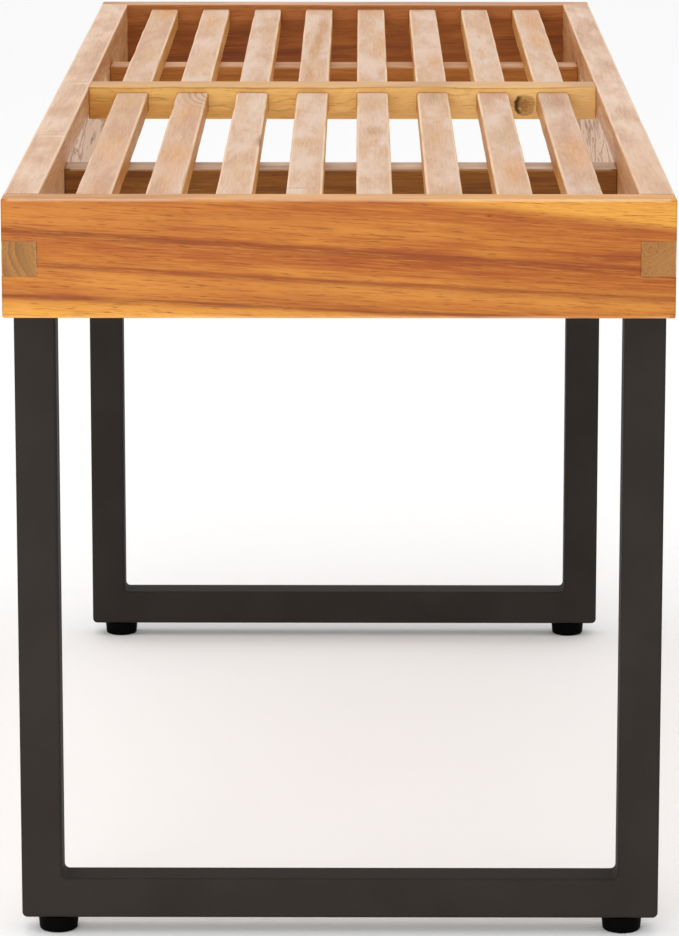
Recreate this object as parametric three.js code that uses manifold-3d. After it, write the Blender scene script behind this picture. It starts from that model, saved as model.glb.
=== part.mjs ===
// Entryway bench: a finger-jointed hardwood frame with lengthwise slats, on two U-shaped steel legs.
// Millimetres. +Z is up, +Y runs along the bench from its near end to its far end, and +X is to the right.
// The origin is on the floor under the middle of the bench.

import * as THREE from 'three';
import { mergeVertices } from 'three/addons/utils/BufferGeometryUtils.js';
import Module from 'manifold-3d';

// Overall sizes.
const BENCH_LENGTH = 1000;
const BENCH_WIDTH = 380;
const BENCH_HEIGHT = 474;
const LEG_FRAME_WIDTH = 388;
const LEG_INSET = 128; // from the bench's end to the leg frame's outer face

// Wooden frame.
const RAIL_THICKNESS = 20;
const RAIL_HEIGHT = 68;
const FINGER_HEIGHT = 20; // the side rail's middle finger, which shows on the end rail's face
const CENTRE_RAIL_HEIGHT = 22;
const CROSS_MEMBER_WIDTH = 28; // along the bench, for the centre rail and the slat supports
const SUPPORT_HEIGHT = 20;
const TENON_LENGTH = 8;
const TENON_SHOULDER = 4; // step above and below a cross member's tenon

// Slats.
const SLATS_PER_HALF = 8;
const SLAT_WIDTH = 20.8;
const SLAT_THICKNESS = 14;
const SLAT_PITCH = 40.2;
const SLAT_DROP = 4; // slat tops lie this far below the frame's top
const SLAT_HOUSING = 8; // depth of the socket that takes a slat's end
const SLAT_EDGE_RADIUS = 2;

// Steel legs.
const TUBE_SIZE = 25;
const TUBE_WALL = 1.5;
const TUBE_CORNER_RADIUS = 2.5;
const PLATE_LENGTH = 90;
const PLATE_THICKNESS = 3;
const PLATE_SCREW_OFFSET = 32; // along the bench, to each side of the upright's middle

// Plate screws.
const SCREW_HEAD_RADIUS = 4.5;
const SCREW_HEAD_HEIGHT = 3;
const SCREW_RADIUS = 2.2;
const SCREW_LENGTH = 32;

// Levelling feet: a swivelling pad on a stud that turns in a threaded insert in the bottom bar.
const FOOT_HEIGHT = 10; // floor to the bottom bar, with the foot screwed fully in
const FOOT_INSET = 21.5; // from the leg frame's outer side to the foot's middle
const PAD_TOP_RADIUS = 12.5;
const PAD_BOTTOM_RADIUS = 11.7;
const PAD_EDGE_RADIUS = 1.5;
const PAD_FLOOR = 2.2; // plastic left under the ball
const STUD_RADIUS = 4;
const STUD_TOP = 28;
const NECK_RADIUS = 3;
const BALL_RADIUS = 4.4;
const BALL_HEIGHT = 5; // height of the ball's widest ring above the floor
const INSERT_RADIUS = 5;
const INSERT_FLANGE_RADIUS = 7;
const INSERT_FLANGE_THICKNESS = 1;
const INSERT_BULGE_RADIUS = 6.4;
const INSERT_BULGE_HEIGHT = 4;
const INSERT_LENGTH = 13;

// Gaps between pieces.
const CUT_GAP = 0.3; // round a piece that sits in a cut
const STOP_GAP = 0.1; // between a foot pad and what it stops against
const THREAD_GAP = 0.2; // between the stud and its insert

// Facets round a turned piece.
const PAD_FACETS = 24;
const TURNED_FACETS = 16;
const SCREW_FACETS = 12;

// Places worked out from the sizes.
const RAIL_BOTTOM = BENCH_HEIGHT - RAIL_HEIGHT;
const RAIL_MIDDLE = BENCH_HEIGHT - RAIL_HEIGHT / 2;
const INNER_X = BENCH_WIDTH / 2 - RAIL_THICKNESS;
const INNER_Y = BENCH_LENGTH / 2 - RAIL_THICKNESS;
const SLAT_TOP = BENCH_HEIGHT - SLAT_DROP;
const SLAT_MIDDLE = SLAT_TOP - SLAT_THICKNESS / 2;
const SUPPORT_MIDDLE = SLAT_TOP - SLAT_THICKNESS - SUPPORT_HEIGHT / 2;
const SUPPORT_Y = BENCH_LENGTH / 4;
const CENTRE_RAIL_MIDDLE = BENCH_HEIGHT - CENTRE_RAIL_HEIGHT / 2;
const LEG_Y = BENCH_LENGTH / 2 - LEG_INSET - TUBE_SIZE / 2;
const UPRIGHT_X = (LEG_FRAME_WIDTH - TUBE_SIZE) / 2;
const SIDE_RAIL_X = (BENCH_WIDTH - RAIL_THICKNESS) / 2;
const FOOT_X = LEG_FRAME_WIDTH / 2 - FOOT_INSET;
const UPRIGHT_TOP = RAIL_BOTTOM - PLATE_THICKNESS;

const wasm = await Module();
wasm.setup();

const railWood = new THREE.MeshStandardMaterial({ color: 0xb5763f, roughness: 0.55, metalness: 0 });
const sideWood = new THREE.MeshStandardMaterial({ color: 0xb98a5f, roughness: 0.55, metalness: 0 });
const slatWood = new THREE.MeshStandardMaterial({ color: 0xc9a27e, roughness: 0.6, metalness: 0 });
const crossWood = new THREE.MeshStandardMaterial({ color: 0xb7823f, roughness: 0.6, metalness: 0 });
const supportWood = new THREE.MeshStandardMaterial({ color: 0x7a4e2e, roughness: 0.65, metalness: 0 });
const blackSteel = new THREE.MeshStandardMaterial({ color: 0x37332f, roughness: 0.45, metalness: 0.4 });
const zincSteel = new THREE.MeshStandardMaterial({ color: 0x9a9b9c, roughness: 0.35, metalness: 1 });
const footPlastic = new THREE.MeshStandardMaterial({ color: 0x141414, roughness: 0.6, metalness: 0 });

// Joining and cutting.

function solidFrom(geometry) {
  const bare = geometry.clone();
  bare.deleteAttribute('normal');
  bare.deleteAttribute('uv');
  const merged = mergeVertices(bare);
  const vertProperties = new Float32Array(merged.attributes.position.array);
  const triVerts = new Uint32Array(merged.index.array);
  return new wasm.Manifold(new wasm.Mesh({ numProp: 3, vertProperties, triVerts }));
}

function geometryFrom(solid) {
  const mesh = solid.getMesh();
  const geometry = new THREE.BufferGeometry();
  geometry.setAttribute('position', new THREE.BufferAttribute(mesh.vertProperties, 3));
  geometry.setIndex(new THREE.BufferAttribute(mesh.triVerts, 1));
  const faceted = geometry.toNonIndexed();
  faceted.computeVertexNormals();
  return faceted;
}

function cutAll(geometry, cutters) {
  const cut = cutters.reduce((solid, cutter) => solid.subtract(solidFrom(cutter)), solidFrom(geometry));
  return geometryFrom(cut);
}

// Basic shapes.

function block(sizeX, sizeY, sizeZ, x = 0, y = 0, z = 0) {
  return new THREE.BoxGeometry(sizeX, sizeY, sizeZ).translate(x, y, z);
}

function uprightCylinder(radius, height, facets, x = 0, y = 0, z = 0) {
  return new THREE.CylinderGeometry(radius, radius, height, facets).rotateX(Math.PI / 2).translate(x, y, z);
}

function turned(profile, facets) {
  const points = profile.map(([radius, height]) => new THREE.Vector2(radius, height));
  return new THREE.LatheGeometry(points, facets).rotateX(Math.PI / 2);
}

function roundedRectangle(path, width, height, radius) {
  const x = width / 2 - radius;
  const y = height / 2 - radius;
  path.absarc(x, y, radius, 0, Math.PI / 2);
  path.absarc(-x, y, radius, Math.PI / 2, Math.PI);
  path.absarc(-x, -y, radius, Math.PI, Math.PI * 1.5);
  path.absarc(x, -y, radius, Math.PI * 1.5, Math.PI * 2);
  path.closePath();
  return path;
}

// Wooden frame.

function slatPlaces() {
  const first = -((SLATS_PER_HALF - 1) / 2) * SLAT_PITCH;
  return Array.from({ length: SLATS_PER_HALF }, (_, index) => first + index * SLAT_PITCH);
}

// Sockets for a row of slat ends. They open towards +Y from the plane y = 0, and SLAT_HOUSING deep.
function slatSockets(y, middleZ) {
  const width = SLAT_WIDTH + 2 * CUT_GAP;
  const height = SLAT_THICKNESS + 2 * CUT_GAP;
  const depth = 2 * (SLAT_HOUSING + CUT_GAP);
  return slatPlaces().map((x) => block(width, depth, height, x, y, middleZ));
}

// The end rail's middle is its own origin, and its inner face looks along +Y.
function endRail() {
  const body = block(BENCH_WIDTH, RAIL_THICKNESS, RAIL_HEIGHT);
  const notches = [-1, 1].map((side) =>
    block(2 * RAIL_THICKNESS, 2 * RAIL_THICKNESS, FINGER_HEIGHT, (side * BENCH_WIDTH) / 2));
  const sockets = slatSockets(RAIL_THICKNESS / 2, SLAT_MIDDLE - RAIL_MIDDLE);
  return cutAll(body, [...notches, ...sockets]);
}

// The side rail's middle is its own origin, and its inner face looks along +X.
function sideRail() {
  const halfHeight = RAIL_HEIGHT / 2;
  const halfFinger = FINGER_HEIGHT / 2;
  const halfLength = BENCH_LENGTH / 2;
  const outline = new THREE.Shape();
  outline.moveTo(-INNER_Y, -halfHeight);
  outline.lineTo(INNER_Y, -halfHeight);
  outline.lineTo(INNER_Y, -halfFinger);
  outline.lineTo(halfLength, -halfFinger);
  outline.lineTo(halfLength, halfFinger);
  outline.lineTo(INNER_Y, halfFinger);
  outline.lineTo(INNER_Y, halfHeight);
  outline.lineTo(-INNER_Y, halfHeight);
  outline.lineTo(-INNER_Y, halfFinger);
  outline.lineTo(-halfLength, halfFinger);
  outline.lineTo(-halfLength, -halfFinger);
  outline.lineTo(-INNER_Y, -halfFinger);
  outline.closePath();
  const body = new THREE.ExtrudeGeometry(outline, { depth: RAIL_THICKNESS, bevelEnabled: false });
  body.translate(0, 0, -RAIL_THICKNESS / 2);
  body.rotateX(Math.PI / 2);
  body.rotateZ(Math.PI / 2);
  const mortises = [
    mortise(0, CENTRE_RAIL_MIDDLE, CENTRE_RAIL_HEIGHT),
    mortise(-SUPPORT_Y, SUPPORT_MIDDLE, SUPPORT_HEIGHT),
    mortise(SUPPORT_Y, SUPPORT_MIDDLE, SUPPORT_HEIGHT),
  ];
  const pilots = screwPlaces().map((y) => pilotHole(y));
  return cutAll(body, [...mortises, ...pilots]);
}

function mortise(y, middleZ, memberHeight) {
  const depth = 2 * (TENON_LENGTH + CUT_GAP);
  const width = CROSS_MEMBER_WIDTH + 2 * CUT_GAP;
  const height = memberHeight - 2 * TENON_SHOULDER + 2 * CUT_GAP;
  return block(depth, width, height, RAIL_THICKNESS / 2, y, middleZ - RAIL_MIDDLE);
}

function screwPlaces() {
  const offsets = [-PLATE_SCREW_OFFSET, PLATE_SCREW_OFFSET];
  return [-LEG_Y, LEG_Y].flatMap((legY) => offsets.map((offset) => legY + offset));
}

function pilotHole(y) {
  const depth = SCREW_LENGTH + CUT_GAP - PLATE_THICKNESS;
  return uprightCylinder(SCREW_RADIUS + CUT_GAP, 2 * depth, SCREW_FACETS, 0, y, -RAIL_HEIGHT / 2);
}

// A cross member with a stub tenon on each end. Its middle is its own origin.
function crossMember(height) {
  const halfHeight = height / 2;
  const halfTenon = halfHeight - TENON_SHOULDER;
  const tenonEnd = INNER_X + TENON_LENGTH;
  const outline = new THREE.Shape();
  outline.moveTo(-INNER_X, -halfHeight);
  outline.lineTo(INNER_X, -halfHeight);
  outline.lineTo(INNER_X, -halfTenon);
  outline.lineTo(tenonEnd, -halfTenon);
  outline.lineTo(tenonEnd, halfTenon);
  outline.lineTo(INNER_X, halfTenon);
  outline.lineTo(INNER_X, halfHeight);
  outline.lineTo(-INNER_X, halfHeight);
  outline.lineTo(-INNER_X, halfTenon);
  outline.lineTo(-tenonEnd, halfTenon);
  outline.lineTo(-tenonEnd, -halfTenon);
  outline.lineTo(-INNER_X, -halfTenon);
  outline.closePath();
  const body = new THREE.ExtrudeGeometry(outline, { depth: CROSS_MEMBER_WIDTH, bevelEnabled: false });
  return body.translate(0, 0, -CROSS_MEMBER_WIDTH / 2).rotateX(Math.PI / 2);
}

function centreRail() {
  const middleZ = SLAT_MIDDLE - CENTRE_RAIL_MIDDLE;
  const halfWidth = CROSS_MEMBER_WIDTH / 2;
  const sockets = [...slatSockets(-halfWidth, middleZ), ...slatSockets(halfWidth, middleZ)];
  return cutAll(crossMember(CENTRE_RAIL_HEIGHT), sockets);
}

function slat() {
  const outline = roundedRectangle(new THREE.Shape(), SLAT_WIDTH, SLAT_THICKNESS, SLAT_EDGE_RADIUS);
  const length = INNER_Y - CROSS_MEMBER_WIDTH / 2 + 2 * SLAT_HOUSING;
  const options = { depth: length, bevelEnabled: false, curveSegments: 2 };
  const body = new THREE.ExtrudeGeometry(outline, options);
  return body.translate(0, 0, -length / 2).rotateX(Math.PI / 2);
}

// Steel legs.

// A length of square tube standing on z = 0, open at both ends.
function squareTube(length) {
  const bore = TUBE_SIZE - 2 * TUBE_WALL;
  const outline = roundedRectangle(new THREE.Shape(), TUBE_SIZE, TUBE_SIZE, TUBE_CORNER_RADIUS);
  const hole = roundedRectangle(new THREE.Path(), bore, bore, TUBE_CORNER_RADIUS - TUBE_WALL);
  outline.holes.push(hole);
  return new THREE.ExtrudeGeometry(outline, { depth: length, bevelEnabled: false, curveSegments: 3 });
}

// A block whose top face is the mitre plane, which leans at 45 degrees through (x, z), facing side and up.
function mitreBlock(x, z, side, up) {
  const size = 4 * TUBE_SIZE;
  const leaning = block(size, size, size, 0, 0, -size / 2 + CUT_GAP / 2);
  const normal = new THREE.Vector3(side, 0, up).normalize();
  const lean = new THREE.Quaternion().setFromUnitVectors(new THREE.Vector3(0, 0, 1), normal);
  return leaning.applyQuaternion(lean).translate(x, 0, z);
}

// The right upright's lower outer corner is its own origin. The tube leaves it upwards.
function upright() {
  const body = squareTube(UPRIGHT_TOP - FOOT_HEIGHT).translate(-TUBE_SIZE / 2, 0, 0);
  return cutAll(body, [mitreBlock(0, 0, 1, 1)]);
}

// The bottom bar's middle is its own origin. Two holes in its lower wall take the foot inserts.
function bottomBar() {
  const half = TUBE_SIZE / 2;
  const end = LEG_FRAME_WIDTH / 2;
  const body = squareTube(LEG_FRAME_WIDTH).translate(0, 0, -end).rotateY(Math.PI / 2);
  const mitres = [mitreBlock(end, -half, -1, -1), mitreBlock(-end, -half, 1, -1)];
  const holes = [-FOOT_X, FOOT_X].map((x) =>
    uprightCylinder(INSERT_RADIUS + CUT_GAP, 4 * TUBE_WALL, TURNED_FACETS, x, 0, -half));
  return cutAll(body, [...mitres, ...holes]);
}

function mountingPlate() {
  const body = block(TUBE_SIZE, PLATE_LENGTH, PLATE_THICKNESS);
  const x = SIDE_RAIL_X - UPRIGHT_X;
  const radius = SCREW_RADIUS + CUT_GAP;
  const holes = [-PLATE_SCREW_OFFSET, PLATE_SCREW_OFFSET].map((y) =>
    uprightCylinder(radius, 2 * PLATE_THICKNESS, SCREW_FACETS, x, y));
  return cutAll(body, holes);
}

// A pan-head wood screw, point up, with the underside of its head on z = 0.
function plateScrew() {
  const tip = 5;
  const crown = SCREW_HEAD_RADIUS - 2;
  return turned([
    [0, -SCREW_HEAD_HEIGHT],
    [crown, -SCREW_HEAD_HEIGHT],
    [SCREW_HEAD_RADIUS, -SCREW_HEAD_HEIGHT / 2],
    [SCREW_HEAD_RADIUS, 0],
    [SCREW_RADIUS, 0],
    [SCREW_RADIUS, SCREW_LENGTH - tip],
    [0, SCREW_LENGTH],
  ], SCREW_FACETS);
}

// Feet. Each piece stands on z = 0, the floor.

function footPad() {
  const top = FOOT_HEIGHT - STOP_GAP;
  const recessFloor = top - INSERT_FLANGE_THICKNESS;
  const recessRadius = INSERT_FLANGE_RADIUS + CUT_GAP;
  const neckRadius = NECK_RADIUS + CUT_GAP;
  const socketRadius = BALL_RADIUS + CUT_GAP;
  return turned([
    [0, 0],
    [PAD_BOTTOM_RADIUS - PAD_EDGE_RADIUS, 0],
    [PAD_BOTTOM_RADIUS - PAD_EDGE_RADIUS / 3, PAD_EDGE_RADIUS / 3],
    [PAD_BOTTOM_RADIUS, PAD_EDGE_RADIUS],
    [PAD_TOP_RADIUS, top],
    [recessRadius, top],
    [recessRadius, recessFloor],
    [neckRadius, recessFloor],
    [neckRadius, BALL_HEIGHT + BALL_RADIUS / 2],
    [socketRadius, BALL_HEIGHT],
    [neckRadius, PAD_FLOOR],
    [0, PAD_FLOOR],
  ], PAD_FACETS);
}

// The stud's ball turns in the pad's socket, and its thread turns in the insert.
function footStud() {
  const chamfer = 1;
  const ballBottom = PAD_FLOOR + CUT_GAP;
  const threadStart = FOOT_HEIGHT - INSERT_FLANGE_THICKNESS;
  return turned([
    [0, ballBottom],
    [NECK_RADIUS - CUT_GAP, ballBottom],
    [BALL_RADIUS, BALL_HEIGHT],
    [NECK_RADIUS, BALL_HEIGHT + BALL_RADIUS / 2 - CUT_GAP],
    [NECK_RADIUS, threadStart],
    [STUD_RADIUS, threadStart + chamfer / 2],
    [STUD_RADIUS, STUD_TOP - chamfer],
    [STUD_RADIUS - chamfer, STUD_TOP],
    [0, STUD_TOP],
  ], TURNED_FACETS);
}

// A rivet nut: a flange under the bar's lower wall, a barrel through it, and a collapsed bulge above it.
function footInsert() {
  const bore = STUD_RADIUS + THREAD_GAP;
  const flangeBottom = FOOT_HEIGHT - INSERT_FLANGE_THICKNESS;
  const bulgeBottom = FOOT_HEIGHT + TUBE_WALL + CUT_GAP;
  const bulgeTop = bulgeBottom + INSERT_BULGE_HEIGHT;
  return turned([
    [bore, flangeBottom],
    [INSERT_FLANGE_RADIUS, flangeBottom],
    [INSERT_FLANGE_RADIUS, FOOT_HEIGHT],
    [INSERT_RADIUS, FOOT_HEIGHT],
    [INSERT_RADIUS, bulgeBottom],
    [INSERT_BULGE_RADIUS, bulgeBottom],
    [INSERT_BULGE_RADIUS, bulgeTop - 1],
    [INSERT_RADIUS, bulgeTop],
    [INSERT_RADIUS, FOOT_HEIGHT + INSERT_LENGTH],
    [bore, FOOT_HEIGHT + INSERT_LENGTH],
    [bore, flangeBottom],
  ], TURNED_FACETS);
}

// Assembly.

function place(parent, name, geometry, material, x, y, z, turn = 0) {
  const mesh = new THREE.Mesh(geometry, material.clone());
  mesh.name = name;
  mesh.position.set(x, y, z);
  mesh.rotation.z = turn;
  parent.add(mesh);
}

function woodenTop() {
  const group = new THREE.Group();
  const endY = INNER_Y + RAIL_THICKNESS / 2;
  place(group, 'near_end_rail', endRail(), railWood, 0, -endY, RAIL_MIDDLE);
  place(group, 'far_end_rail', endRail(), railWood, 0, endY, RAIL_MIDDLE, Math.PI);
  place(group, 'left_side_rail', sideRail(), sideWood, -SIDE_RAIL_X, 0, RAIL_MIDDLE);
  place(group, 'right_side_rail', sideRail(), sideWood, SIDE_RAIL_X, 0, RAIL_MIDDLE, Math.PI);
  place(group, 'centre_rail', centreRail(), crossWood, 0, 0, CENTRE_RAIL_MIDDLE);
  const slatY = (INNER_Y + CROSS_MEMBER_WIDTH / 2) / 2;
  for (const [end, direction] of [['near', -1], ['far', 1]]) {
    const support = crossMember(SUPPORT_HEIGHT);
    place(group, `${end}_slat_support`, support, supportWood, 0, direction * SUPPORT_Y, SUPPORT_MIDDLE);
    slatPlaces().forEach((x, index) => {
      place(group, `${end}_slat_${index + 1}`, slat(), slatWood, x, direction * slatY, SLAT_MIDDLE);
    });
  }
  return group;
}

function legFrame(end) {
  const group = new THREE.Group();
  const plateZ = UPRIGHT_TOP + PLATE_THICKNESS / 2;
  place(group, `${end}_bottom_bar`, bottomBar(), blackSteel, 0, 0, FOOT_HEIGHT + TUBE_SIZE / 2);
  for (const [side, direction] of [['left', -1], ['right', 1]]) {
    const name = `${end}_${side}`;
    const turn = direction < 0 ? Math.PI : 0;
    const outerX = (direction * LEG_FRAME_WIDTH) / 2;
    const footX = direction * FOOT_X;
    place(group, `${name}_upright`, upright(), blackSteel, outerX, 0, FOOT_HEIGHT, turn);
    place(group, `${name}_mounting_plate`, mountingPlate(), blackSteel, direction * UPRIGHT_X, 0, plateZ, turn);
    place(group, `${name}_foot_pad`, footPad(), footPlastic, footX, 0, 0);
    place(group, `${name}_foot_stud`, footStud(), zincSteel, footX, 0, 0);
    place(group, `${name}_foot_insert`, footInsert(), zincSteel, footX, 0, 0);
    [-PLATE_SCREW_OFFSET, PLATE_SCREW_OFFSET].forEach((y, index) => {
      const screw = `${name}_plate_screw_${index + 1}`;
      place(group, screw, plateScrew(), zincSteel, direction * SIDE_RAIL_X, y, UPRIGHT_TOP);
    });
  }
  return group;
}

const bench = new THREE.Group();
bench.add(woodenTop());
for (const [end, direction] of [['near', -1], ['far', 1]]) {
  const frame = legFrame(end);
  frame.position.y = direction * LEG_Y;
  bench.add(frame);
}

export default bench;
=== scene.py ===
"""Looks of the entryway bench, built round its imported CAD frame. Metres, +Z up, near end towards -Y."""

import math
from types import SimpleNamespace

import bmesh
import bpy
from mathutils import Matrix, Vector, noise


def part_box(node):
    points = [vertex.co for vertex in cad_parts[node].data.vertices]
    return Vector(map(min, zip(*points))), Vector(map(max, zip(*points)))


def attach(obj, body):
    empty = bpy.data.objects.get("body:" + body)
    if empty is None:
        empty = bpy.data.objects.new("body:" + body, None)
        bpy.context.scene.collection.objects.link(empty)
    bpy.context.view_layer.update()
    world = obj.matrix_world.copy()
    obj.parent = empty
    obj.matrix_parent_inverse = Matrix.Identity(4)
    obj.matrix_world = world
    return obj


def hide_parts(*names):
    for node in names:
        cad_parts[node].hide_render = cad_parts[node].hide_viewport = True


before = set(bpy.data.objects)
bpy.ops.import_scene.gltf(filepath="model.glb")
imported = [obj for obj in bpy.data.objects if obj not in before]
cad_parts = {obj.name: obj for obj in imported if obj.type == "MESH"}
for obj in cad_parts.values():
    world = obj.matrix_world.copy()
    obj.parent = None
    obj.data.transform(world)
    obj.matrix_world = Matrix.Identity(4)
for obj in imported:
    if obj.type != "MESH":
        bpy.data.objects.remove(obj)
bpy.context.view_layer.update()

BENCH = "bench"  # the body of everything but the feet
MM = 0.001


# ---------------------------------------------------------------- camera and light

def make_camera():
    """A long lens with a small vertical shift, in front of the near end, looking a little down."""
    data = bpy.data.cameras.new("camera")
    data.sensor_width = 36.0
    data.lens = 168.35
    data.shift_y = -0.1
    camera = bpy.data.objects.new("camera", data)
    camera.location = (0.01226, -2.9278, 0.855)
    camera.rotation_euler = (math.radians(90 - 11.21), 0, math.radians(0.28))
    bpy.context.collection.objects.link(camera)
    bpy.context.scene.camera = camera


def make_area_light(name, place, aim, size, power):
    data = bpy.data.lights.new(name, "AREA")
    data.shape = "RECTANGLE"
    data.size, data.size_y = size
    data.energy = power
    light = bpy.data.objects.new(name, data)
    light.location = place
    light.rotation_euler = (Vector(aim) - Vector(place)).to_track_quat("-Z", "Y").to_euler()
    light.visible_camera = False
    bpy.context.collection.objects.link(light)


def make_studio():
    world = bpy.data.worlds.new("studio")
    world.use_nodes = True
    background = world.node_tree.nodes["Background"]
    background.inputs["Color"].default_value = (1, 1, 1, 1)
    background.inputs["Strength"].default_value = 1.0
    bpy.context.scene.world = world
    bpy.context.scene.view_settings.view_transform = "Standard"
    make_area_light("overhead", (-0.6, 0.1, 2.2), (0, 0, 0.4), (2.0, 2.6), 9)
    make_area_light("front_fill", (-0.35, -1.75, 0.42), (0, -0.4, 0.2), (1.3, 1.0), 13)


# ---------------------------------------------------------------- shader nodes

def add(tree, kind, inputs=None, **settings):
    """A new node. inputs maps a socket's name or number to a value or to another node's output."""
    made = tree.nodes.new(kind)
    for key, value in settings.items():
        setattr(made, key, value)
    for key, value in (inputs or {}).items():
        if isinstance(value, bpy.types.NodeSocket):
            tree.links.new(value, made.inputs[key])
        else:
            made.inputs[key].default_value = value
    return made


def maths(tree, operation, *values, clamp=False):
    node = add(tree, "ShaderNodeMath", dict(enumerate(values)), operation=operation, use_clamp=clamp)
    return node.outputs[0]


def mix(tree, factor, a, b):
    node = add(tree, "ShaderNodeMix", {0: factor, 6: a, 7: b}, data_type="RGBA")
    return node.outputs[2]


def step(tree, value, low, high, out_low=0.0, out_high=1.0):
    """A smooth rise from out_low, where value is low, to out_high, where it is high."""
    inputs = {"Value": value, "From Min": low, "From Max": high, "To Min": out_low, "To Max": out_high}
    return add(tree, "ShaderNodeMapRange", inputs, interpolation_type="SMOOTHSTEP").outputs[0]


def noise_at(tree, vector, scale=1.0, detail=2.0, roughness=0.5, distortion=0.0):
    inputs = {"Vector": vector, "Scale": scale, "Detail": detail, "Roughness": roughness,
              "Distortion": distortion}
    return add(tree, "ShaderNodeTexNoise", inputs).outputs["Fac"]


def noise_along(tree, value, scale, detail=2.0):
    inputs = {"W": value, "Scale": scale, "Detail": detail}
    return add(tree, "ShaderNodeTexNoise", inputs, noise_dimensions="1D").outputs["Fac"]


def distance(tree, a, b):
    return add(tree, "ShaderNodeVectorMath", {0: a, 1: b}, operation="DISTANCE").outputs["Value"]


def bump(tree, shader, height, strength, depth):
    node = add(tree, "ShaderNodeBump", {"Height": height, "Strength": strength, "Distance": depth})
    tree.links.new(node.outputs[0], shader.inputs["Normal"])


def colour(red, green, blue):
    """A linear colour from 0-255 display values."""
    def linear(value):
        value /= 255
        return value / 12.92 if value <= 0.04045 else ((value + 0.055) / 1.055) ** 2.4
    return (linear(red), linear(green), linear(blue), 1)


def new_material(name):
    material = bpy.data.materials.new(name)
    material.use_nodes = True
    tree = material.node_tree
    return material, tree, tree.nodes["Principled BSDF"]


# ---------------------------------------------------------------- wood

# Display colours: pale, body, reddish and dark wood, end grain and its dark bands, and a painted sheen on
# tops.
# cloud, rings, fibres and dashes are how strongly each pattern shows, the next how strongly the painted
# sheen on tops does, and the next how strongly the rubbed edges, worn and with a painted highlight, do. curl
# is how quickly the grain sways along the board.
WOODS = {
    "near_rail": dict(pale=(176, 112, 42), body=(157, 89, 29), reddish=(128, 60, 20), dark=(88, 41, 15),
                      end=(140, 92, 44), end_dark=(94, 60, 30), worn=(228, 172, 112), cloud=1.5, rings=0.12,
                      fibres=0.6, dashes=0.55, bleach=0.7, rub=0.4, curl=3.2),
    "far_rail": dict(pale=(165, 100, 42), body=(143, 78, 29), reddish=(112, 56, 20), dark=(78, 38, 16),
                     end=(142, 92, 46), end_dark=(90, 56, 28), worn=(222, 176, 142), cloud=1.7, rings=0.14,
                     fibres=0.4, dashes=0.3, bleach=0.7, rub=0.4, curl=3.2),
    "side": dict(pale=(210, 163, 116), body=(188, 133, 84), reddish=(163, 103, 56), dark=(114, 72, 42),
                 end=(142, 98, 50), end_dark=(84, 64, 36), worn=(226, 204, 187), cloud=1.6, rings=0.10,
                 fibres=0.6, dashes=0.6, bleach=0.64, rub=0.8, curl=3.2),
    "slat": dict(pale=(206, 154, 88), body=(192, 134, 66), reddish=(176, 110, 46), dark=(116, 70, 36),
                 end=(168, 120, 70), end_dark=(112, 76, 44), worn=(215, 194, 181), cloud=1.8, rings=0.10,
                 fibres=0.8, dashes=0.6, bleach=0.70, rub=1.0, curl=3.2),
    "centre": dict(pale=(224, 176, 98), body=(208, 152, 73), reddish=(184, 119, 47), dark=(104, 66, 28),
                   end=(176, 126, 62), end_dark=(120, 82, 38), worn=(190, 146, 110), cloud=1.8, rings=0.32,
                   fibres=0.45, dashes=0.4, bleach=0.55, rub=0.12, curl=13.0),
    "near_support": dict(pale=(154, 106, 42), body=(134, 83, 30), reddish=(111, 64, 22), dark=(66, 37, 16),
                         end=(128, 86, 46), end_dark=(84, 54, 30), worn=(234, 208, 184), cloud=1.6,
                         rings=0.24, fibres=0.55, dashes=0.5, bleach=0.7, rub=0.5, curl=5.0),
    "far_support": dict(pale=(188, 126, 58), body=(168, 104, 41), reddish=(138, 78, 29), dark=(90, 50, 21),
                        end=(150, 102, 52), end_dark=(98, 64, 33), worn=(236, 192, 148), cloud=1.5,
                        rings=0.20, fibres=0.5, dashes=0.35, bleach=0.6, rub=0.4, curl=3.2),
}
WORN_EDGE_AND_HIGHLIGHT = (242, 212, 178)  # rubbed edges of every kind: partly wear, partly a painted highlight


def wood_grain(name, kind, low, high, grain, seed, slope):
    """A wood material with its place within the board: u along the grain, v across it, w up."""
    material, tree, shader = new_material(name)
    coordinates = add(tree, "ShaderNodeTexCoord").outputs
    place = add(tree, "ShaderNodeSeparateXYZ", {0: coordinates["Object"]}).outputs
    normal = add(tree, "ShaderNodeSeparateXYZ", {0: coordinates["Normal"]}).outputs
    centre = (Vector(low) + Vector(high)) / 2
    along, across = (0, 1) if grain == "X" else (1, 0)
    g = SimpleNamespace(material=material, tree=tree, shader=shader, seed=seed, low=low, high=high)
    g.looks = SimpleNamespace(**WOODS[kind])
    g.along = along
    g.object, g.place = coordinates["Object"], place
    g.end_normal = maths(tree, "ABSOLUTE", normal[along])
    g.side_normal, g.up_normal = normal[across], normal[2]
    g.u = maths(tree, "SUBTRACT", place[along], centre[along])
    g.v = maths(tree, "SUBTRACT", place[across], centre[across])
    g.w = maths(tree, "SUBTRACT", place[2], centre[2])
    g.leaning_w = maths(tree, "MULTIPLY_ADD", g.u, slope, g.w)
    g.progress = maths(tree, "ADD", maths(tree, "DIVIDE", g.u, high[along] - low[along]), 0.5)
    g.height = maths(tree, "SUBTRACT", place[2], low[2])
    return g


def drawn_out(g, along, across):
    """A vector for a pattern that is drawn out along the grain."""
    parts = {0: maths(g.tree, "MULTIPLY_ADD", g.u, along, g.seed * 3.17),
             1: maths(g.tree, "MULTIPLY_ADD", g.v, across, g.seed * 1.93),
             2: maths(g.tree, "MULTIPLY_ADD", g.leaning_w, across, g.seed * 2.71)}
    return add(g.tree, "ShaderNodeCombineXYZ", parts).outputs[0]


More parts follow.
